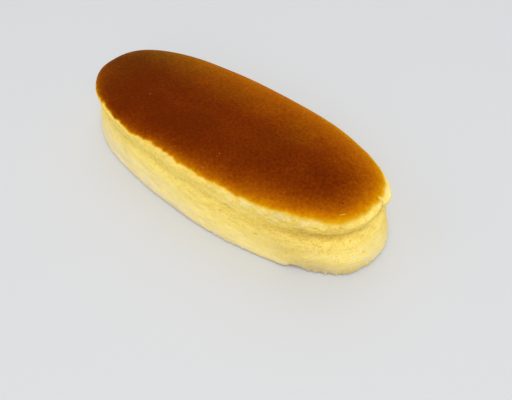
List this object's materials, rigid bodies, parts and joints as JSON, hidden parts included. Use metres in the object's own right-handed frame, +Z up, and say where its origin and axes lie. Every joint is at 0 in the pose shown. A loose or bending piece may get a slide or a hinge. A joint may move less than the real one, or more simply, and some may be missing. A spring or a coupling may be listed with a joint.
{
  "type": "oval japanese cheesecake",
  "caption": "Whole oval soft cheesecake with a smooth browned top, a puffed pale rim over a groove, and a bellied yellow wall on a flat base.",
  "frame": {"origin": "middle of the flat base, on the surface that the cake stands on", "axes": "+Z up, +X along the oval towards the end where the rim is puffed out furthest, +Y across the oval"},
  "size_m": [0.1992, 0.0856, 0.0349],
  "materials": {
    "sponge": "soft matt pale yellow sponge, with a browned satin top that goes from dark red brown in the middle to gold at its edge"
  },
  "bodies": {
    "root": {"cheesecake": "sponge"}
  },
  "joints": []
}
